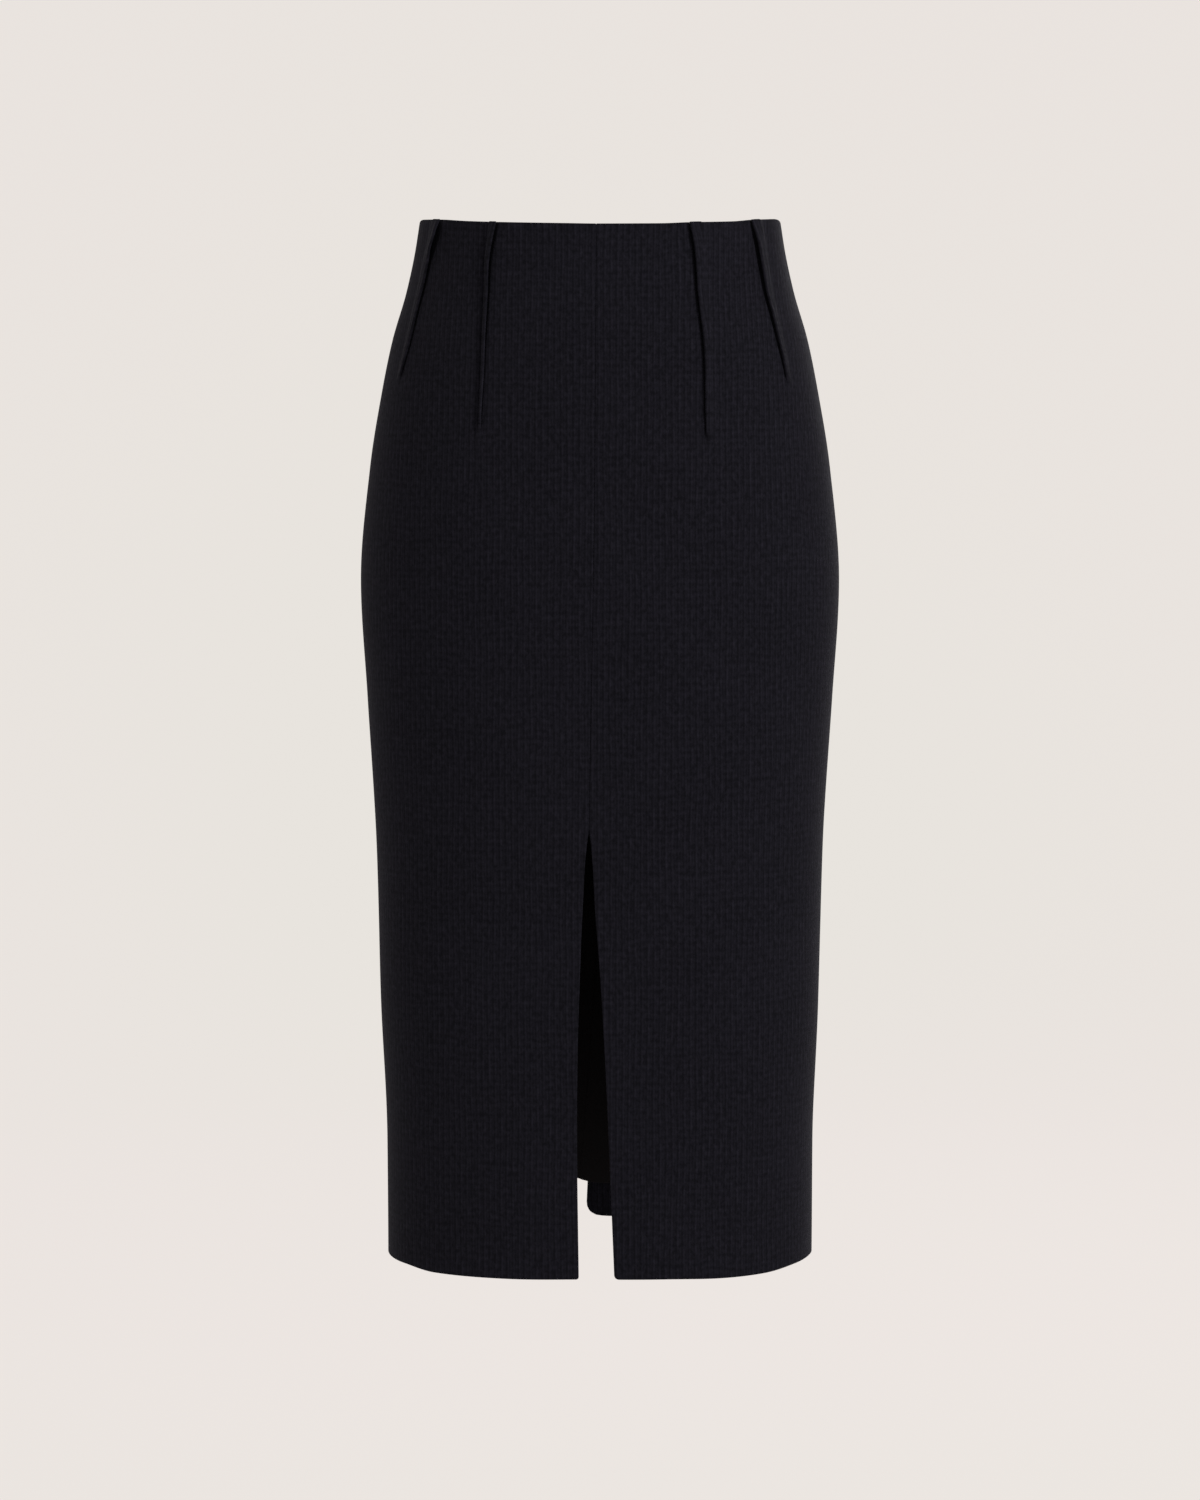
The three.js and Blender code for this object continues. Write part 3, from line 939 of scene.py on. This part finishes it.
def lining_out(down, along):
    """How far the lining's face lies inside the crepe's face, with its soft upright folds."""
    free = smooth_step(down, *LINING_FREE)
    fold = noise.noise(Vector((along / FOLD_BROAD[0], down / FOLD_BROAD[1], 4.7)))
    fold += 0.5 * noise.noise(Vector((along / FOLD_FINE[0], down / FOLD_FINE[1], 9.1)))
    return -lining_sink(down) - LINING_FOLDS * free * (LINING_INWARD + fold)


def lining_rows(face, side):
    """A front width from its slit edge to the side, or the whole back from side to side."""
    rows = []
    for down in rows_between(LINING_TOP, LINING_HEM, LINING_PITCH):
        end = girth(face, down)
        rim = [LINING_RIM * step for step in RIM]
        last = [end - step for step in reversed(rim)]
        seam_line = None
        if face == "front":
            drawn = smooth_step(down, LINING_SLIT_TOP, LINING_SLIT_TOP + LINING_SLIT_OPENS)
            start = side * front_seam[0](down) + front_seam[1](down) + LINING_SET_BACK * drawn
            aways = [start + step for step in rim]
            aways = aways + spaced(aways[-1], last[0], LINING_CELLS) + last
        else:
            start = -end
            seam_line = back_seam[0](down)
            seam_points = [seam_line + off for off in LINING_SEAM_SIDES]
            aways = [start + step for step in rim]
            aways = aways + spaced(aways[-1], seam_points[0], LINING_CELLS) + seam_points
            aways = aways + spaced(aways[-1], last[0], LINING_CELLS) + last
        hem_top = LINING_HEM - LINING_HEM_DEEP
        hemmed = smooth_step(down, hem_top - LINING_HEM_STEP, hem_top)
        extra = LINING_HEM_THICK * hemmed
        columns = []
        for away in aways:
            out = lining_out(down, side * away)
            if seam_line is not None:
                out -= LINING_SEAM_SINK * exp(-(((away - seam_line) / LINING_SEAM_WIDTH) ** 2))
            outer = (away, out + extra / 2)
            inner = (away, out - LINING_THICK - extra / 2)
            columns.append((outer, inner, away))
        half = (LINING_THICK + extra) / 2
        edges = thin_edges(start, end, LINING_TOP, LINING_HEM, half, LINING_CORNER)
        row = []
        for outer, inner, u, level in turned(columns, down, edges):
            pull = smooth_step(down, LINING_HEM - LINING_PULL_LONG, LINING_HEM)
            for place, rise, width in LINING_RISES[face]:
                level -= pull * rise * exp(-(((side * inner[0] - place) / width) ** 2))
            row.append((outer, inner, u, level))
        rows.append(row)
    return rows


LINING_DEEP = (0.0016, 0.0011, 0.0014, 1)
LINING_LIT = (0.0038, 0.0026, 0.0031, 1)
SATIN_ROUGHNESS = (0.47, 0.53)
SATIN_SPECULAR = 0.06
SATIN_BUMP = 0.25
SATIN_RELIEF = 0.00012
SATIN_THREADS = 2600
TWILL_LINES = 1400  # per metre, leaning by TWILL_LEAN
TWILL_LEAN = 0.6
TWILL_HEIGHT = 0.35
THREAD_SHARE = 0.8
CLOUD_SHARE = 0.2
satin, tree, surface = finish_material("lining_satin")
uv = cut_map(tree)
threads = noise_node(tree, stretch_node(tree, uv, (1, 0.12, 1)), SATIN_THREADS, 2, 0.6)
cloud = noise_node(tree, stretch_node(tree, uv, (1, 0.3, 1)), UNEVEN_SCALE, 2, 0.5)
twill_split = shader(tree, "ShaderNodeSeparateXYZ", inputs={0: uv})
twill_lean = math_node(tree, "MULTIPLY", twill_split.outputs[1], TWILL_LEAN)
twill_run = math_node(tree, "ADD", twill_split.outputs[0], twill_lean)
twill = math_node(tree, "SINE", math_node(tree, "MULTIPLY", twill_run, 2 * pi * TWILL_LINES))
twill_height = math_node(tree, "MULTIPLY", range_node(tree, twill, -1, 1), TWILL_HEIGHT)
satin_height = math_node(tree, "ADD", threads, twill_height)
thread_tone = math_node(tree, "MULTIPLY", threads, THREAD_SHARE)
cloud_tone = math_node(tree, "MULTIPLY", cloud, CLOUD_SHARE)
satin_tone = math_node(tree, "ADD", thread_tone, cloud_tone)
tree.links.new(
    blend_colours(tree, range_node(tree, satin_tone, 0.3, 0.7), LINING_DEEP, LINING_LIT),
    surface.inputs["Base Color"],
)
tree.links.new(range_node(tree, cloud, 0.3, 0.7, *SATIN_ROUGHNESS), surface.inputs["Roughness"])
raised(tree, surface, satin_height, SATIN_BUMP, SATIN_RELIEF)
surface.inputs["Specular IOR Level"].default_value = SATIN_SPECULAR

LINING_WIDTHS = [  # name, face, side, cut, area, the solids it stands for
    ("satin_front_left", "front", 1, (0.2295, 0.712), 0.1445, ("lining_front_left",)),
    ("satin_front_right", "front", -1, (0.2295, 0.712), 0.1430, ("lining_front_right",)),
    ("satin_back", "back", 1, (0.492, 0.712), 0.3230, ("lining_back_left", "lining_back_right")),
]
for name, face, side, size, area, solids in LINING_WIDTHS:
    width = cloth(name, face, side, lining_rows(face, side), satin)
    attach(width, "skirt")
    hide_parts(*solids)

# Zip: the slider's bridge and the pull stand outside the lips, in black enamel over zinc, rubbed
# through in small specks. The two tapes and the coil lie behind the lips, sewn to them.
ENAMEL_BLACK = (0.006, 0.006, 0.0065, 1)
ENAMEL_RUBBED = (0.07, 0.067, 0.064, 1)
ENAMEL_ROUGHNESS = (0.32, 0.5)
ENAMEL_SPECULAR = 0.2
ENAMEL_BUMP = 0.12
ENAMEL_RELIEF = 0.0001
ENAMEL_WORN = (0.62, 0.74)  # specks start to show metal at the first, and are bare at the second
BARE_METAL = 0.9
ENAMEL_SPECKS = 1900
ENAMEL_DULLNESS = 420
enamel, tree, surface = finish_material("zip_enamel")
place = shader(tree, "ShaderNodeTexCoord").outputs["Object"]
specks = noise_node(tree, place, ENAMEL_SPECKS, 4, 0.62)
dull = noise_node(tree, place, ENAMEL_DULLNESS, 3, 0.5)
rubbed = range_node(tree, specks, *ENAMEL_WORN)
tree.links.new(
    blend_colours(tree, rubbed, ENAMEL_BLACK, ENAMEL_RUBBED), surface.inputs["Base Color"]
)
tree.links.new(range_node(tree, dull, 0.3, 0.7, *ENAMEL_ROUGHNESS), surface.inputs["Roughness"])
tree.links.new(math_node(tree, "MULTIPLY", rubbed, BARE_METAL), surface.inputs["Metallic"])
raised(tree, surface, dull, ENAMEL_BUMP, ENAMEL_RELIEF)
surface.inputs["Specular IOR Level"].default_value = ENAMEL_SPECULAR
for name in ("zip_slider", "zip_pull"):
    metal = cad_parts[name]
    for held in metal.material_slots:
        held.material = enamel

TAPE_WIDE = 11
TAPE_THICK = 0.45
TAPE_SINK = 1.95
TAPE_TOP = 4
TAPE_END = 208
TAPE_CELLS = 8
TAPE_PITCH = 8
TAPE_RIM = 0.25
TAPE_CORNER = 0.5
TAPE_FROM_SEAM = 0.9
TAPE_DEEP = (0.006, 0.006, 0.007, 1)
TAPE_LIT = (0.02, 0.019, 0.022, 1)
TAPE_KNIT = 1500
TAPE_ROUGHNESS = (0.75, 0.9)
TAPE_SPECULAR = 0.2
TAPE_BUMP = 0.4
TAPE_RELIEF = 0.0002
tape, tree, surface = finish_material("zip_tape")
uv = cut_map(tree)
knit = noise_node(tree, stretch_node(tree, uv, (1, 0.4, 1)), TAPE_KNIT, 2, 0.5)
tree.links.new(blend_colours(tree, knit, TAPE_DEEP, TAPE_LIT), surface.inputs["Base Color"])
raised(tree, surface, knit, TAPE_BUMP, TAPE_RELIEF)
tree.links.new(range_node(tree, knit, 0, 1, *TAPE_ROUGHNESS), surface.inputs["Roughness"])
surface.inputs["Specular IOR Level"].default_value = TAPE_SPECULAR

for side, name in ((1, "zip_tape_left"), (-1, "zip_tape_right")):
    rows = []
    for down in rows_between(TAPE_TOP, TAPE_END, TAPE_PITCH):
        start = side * back_seam[0](down) + TAPE_FROM_SEAM
        end = start + TAPE_WIDE
        rim = [TAPE_RIM * step for step in RIM]
        aways = [start + step for step in rim]
        last = [end - step for step in reversed(rim)]
        aways = aways + spaced(aways[-1], last[0], TAPE_CELLS) + last
        columns = [((away, -TAPE_SINK), (away, -TAPE_SINK - TAPE_THICK), away) for away in aways]
        edges = thin_edges(start, end, TAPE_TOP, TAPE_END, TAPE_THICK / 2, TAPE_CORNER)
        rows.append(turned(columns, down, edges))
    strip = cloth(name, "back", side, rows, tape)
    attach(strip, "skirt")

# The coil is a black nylon wire bent into small loops, with a row sewn to each tape. Hidden by the
# lips, it shows only as a dark gleam between them.
COIL_PITCH = 1.4
COIL_LONG = 2.2
COIL_WIRE = 0.34
COIL_TOP = TAPE_TOP + 2
COIL_FROM_SEAM = 0.55
COIL_SINK = TAPE_SINK + 0.05
coil = bmesh.new()
steps = round((ZIP_END - COIL_TOP) / COIL_PITCH)
for i in range(steps):
    level = COIL_TOP + i * COIL_PITCH
    for side in (1, -1):
        along = back_seam[0](level) + side * COIL_FROM_SEAM
        middle = spot("back", level + side * COIL_PITCH / 4, along, -COIL_SINK)
        ahead = spot("back", level, along + 1, -COIL_SINK)
        across_way = (ahead - middle).normalized()
        shape = Matrix.Diagonal((COIL_LONG * MM / 2, COIL_WIRE * MM / 2, COIL_WIRE * MM / 2, 1))
        turn = Vector((1, 0, 0)).rotation_difference(across_way).to_matrix().to_4x4()
        bmesh.ops.create_icosphere(
            coil, subdivisions=1, radius=1, matrix=Matrix.Translation(middle) @ turn @ shape
        )
for loop_face in coil.faces:
    loop_face.smooth = True
zip_coil = placed("zip_coil", coil, enamel)
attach(zip_coil, "skirt")

# Stitching that shows inside: the lining is understitched below the waist, and its hem is held by
# a row of short machine stitches, in a polyester thread a little lighter than the satin.
THREAD_LONG = 2.3
THREAD_PITCH = 3.0
THREAD_THICK = 0.26
THREAD_DEEP = (0.0035, 0.0028, 0.0032, 1)
THREAD_LIT = (0.0085, 0.0068, 0.0074, 1)
THREAD_TWIST = 3200
THREAD_ROUGHNESS = (0.5, 0.75)
THREAD_SPECULAR = 0.12
HEM_ROW_IN = 1.6  # below the top of the lining's folded hem
WAIST_ROW_IN = 2.2  # below the lining's top
ROW_FROM_EDGE = 0.5
ROW_FROM_SLIT = 1.0
thread, tree, surface = finish_material("thread")
place = shader(tree, "ShaderNodeTexCoord").outputs["Object"]
twist = noise_node(tree, place, THREAD_TWIST, 2, 0.5)
tree.links.new(blend_colours(tree, twist, THREAD_DEEP, THREAD_LIT), surface.inputs["Base Color"])
tree.links.new(range_node(tree, twist, 0, 1, *THREAD_ROUGHNESS), surface.inputs["Roughness"])
surface.inputs["Specular IOR Level"].default_value = THREAD_SPECULAR


def stitch_row(bm, face, side, start, end, down_of, out_of):
    """A row of stitches along the cloth. Each is a short thread with sunk ends."""
    count = int((end - start) / THREAD_PITCH)
    for i in range(count):
        away = start + (i + 0.5) * (end - start) / count
        along = side * away
        level = down_of(along)
        middle = spot(face, level, along, out_of(level, along))
        ahead = spot(face, level, along + 1, out_of(level, along + 1))
        turn = Vector((1, 0, 0)).rotation_difference((ahead - middle).normalized())
        shape = Matrix.Diagonal(
            (THREAD_LONG * MM / 2, THREAD_THICK * MM / 2, THREAD_THICK * MM / 2, 1)
        )
        bmesh.ops.create_icosphere(
            bm,
            subdivisions=1,
            radius=1,
            matrix=Matrix.Translation(middle) @ turn.to_matrix().to_4x4() @ shape,
        )


def joined(name, bm, material):
    for part in bm.faces:
        part.smooth = True
    made = placed(name, bm, material)
    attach(made, "skirt")


hem_stitches = bmesh.new()
waist_stitches = bmesh.new()
for face in ("front", "back"):
    for side in (1, -1):
        level = LINING_HEM - LINING_HEM_DEEP + HEM_ROW_IN
        if face == "front":
            start = side * front_seam[0](level) + front_seam[1](level)
            start += LINING_SET_BACK + ROW_FROM_SLIT
        else:
            start = side * back_seam[0](level) + ROW_FROM_EDGE

        def hem_level(along, face=face, level=level):
            rise = sum(r * exp(-(((along - p) / w) ** 2)) for p, r, w in LINING_RISES[face])
            return level - rise * smooth_step(level, LINING_HEM - LINING_PULL_LONG, LINING_HEM)

        def hem_face(down, along):
            return lining_out(down, along) + LINING_HEM_THICK / 2

        def hem_inside(down, along):
            return lining_out(down, along) - LINING_THICK - LINING_HEM_THICK / 2

        end = girth(face, level) - ROW_FROM_EDGE
        stitch_row(hem_stitches, face, side, start, end, hem_level, hem_face)
        stitch_row(hem_stitches, face, side, start, end, hem_level, hem_inside)
        top = LINING_TOP + WAIST_ROW_IN
        end = girth(face, top) - ROW_FROM_EDGE
        stitch_row(
            waist_stitches,
            face,
            side,
            ROW_FROM_SLIT,
            end,
            lambda along, top=top: top,
            lambda down, along: lining_out(down, along) - LINING_THICK,
        )
joined("lining_hem_stitches", hem_stitches, thread)
joined("lining_waist_stitches", waist_stitches, thread)

# The studio: a plain pale floor that curves up all round into a plain pale wall, open above, in
# even light, with the strongest soft lamp to the viewer's right, a weak one to the left and one
# behind.
FLOOR = -1.3
COVE_RADIUS = 5.6
COVE_BEND = 1.5
COVE_TOP = 4.5
COVE_TURNS = 96
COVE_BEND_STEPS = 12
BACKDROP = (0.78, 0.742, 0.720, 1)
BACKDROP_CASTS = [(0.79, 0.742, 0.714, 1), (0.772, 0.745, 0.702, 1)]  # it shifts between these
BACKDROP_PAINT = (0.06, 0.06, 0.06, 1)
CAST_SCALE = 0.35
BACKDROP_GLOW = 0.985
cove_bm = bmesh.new()
profile = [(0, FLOOR), (COVE_RADIUS - COVE_BEND, FLOOR)]
for step in range(1, COVE_BEND_STEPS + 1):
    angle = radians(90 / COVE_BEND_STEPS * step)
    profile.append(
        (COVE_RADIUS - COVE_BEND + COVE_BEND * sin(angle), FLOOR + COVE_BEND * (1 - cos(angle)))
    )
profile.append((COVE_RADIUS, COVE_TOP))
profile_verts = [cove_bm.verts.new((x, 0, z)) for x, z in profile]
for first, second in zip(profile_verts, profile_verts[1:]):
    cove_bm.edges.new((first, second))
bmesh.ops.spin(
    cove_bm,
    geom=cove_bm.verts[:] + cove_bm.edges[:],
    cent=(0, 0, 0),
    axis=(0, 0, 1),
    angle=2 * pi,
    steps=COVE_TURNS,
    use_merge=True,
)
bmesh.ops.remove_doubles(cove_bm, verts=cove_bm.verts, dist=0.0005)
for wall_face in cove_bm.faces:
    wall_face.smooth = True
backdrop, tree, surface = finish_material("backdrop")
place = shader(tree, "ShaderNodeTexCoord").outputs["Object"]
cast = noise_node(tree, place, CAST_SCALE, 1, 0.5)
backdrop_colour = blend_colours(tree, range_node(tree, cast, 0.3, 0.7), *BACKDROP_CASTS)
backdrop_paint = blend_colours(tree, 1.0, backdrop_colour, BACKDROP_PAINT, "MULTIPLY")
tree.links.new(backdrop_paint, surface.inputs["Base Color"])
tree.links.new(backdrop_colour, surface.inputs["Emission Color"])
surface.inputs["Roughness"].default_value = 1.0
surface.inputs["Specular IOR Level"].default_value = 0.0
surface.inputs["Emission Strength"].default_value = BACKDROP_GLOW
cove = placed("cove", cove_bm, backdrop)

world = bpy.data.worlds.new("studio")
world.use_nodes = True
world.node_tree.nodes["Background"].inputs["Color"].default_value = BACKDROP
world.node_tree.nodes["Background"].inputs["Strength"].default_value = 1.0
bpy.context.scene.world = world

LAMPS = [  # name, place, size, watts
    ("key_right", (2.7, -2.1, 1.25), 0.9, 104),
    ("fill_left", (-3.2, -1.2, 0.4), 2.2, 12),
    ("back_soft", (1.4, 3.2, 1.2), 2.2, 60),
]
for name, place, size, watts in LAMPS:
    lamp_data = bpy.data.lights.new(name, "AREA")
    lamp_data.shape = "DISK"
    lamp_data.size = size
    lamp_data.energy = watts
    lamp = bpy.data.objects.new(name, lamp_data)
    lamp.location = place
    lamp.rotation_mode = "QUATERNION"
    lamp.rotation_quaternion = (LOOKED_AT - Vector(place)).to_track_quat("-Z", "Y")
    bpy.context.scene.collection.objects.link(lamp)

bpy.context.scene.view_settings.view_transform = "Standard"
bpy.context.scene.view_settings.look = "None"
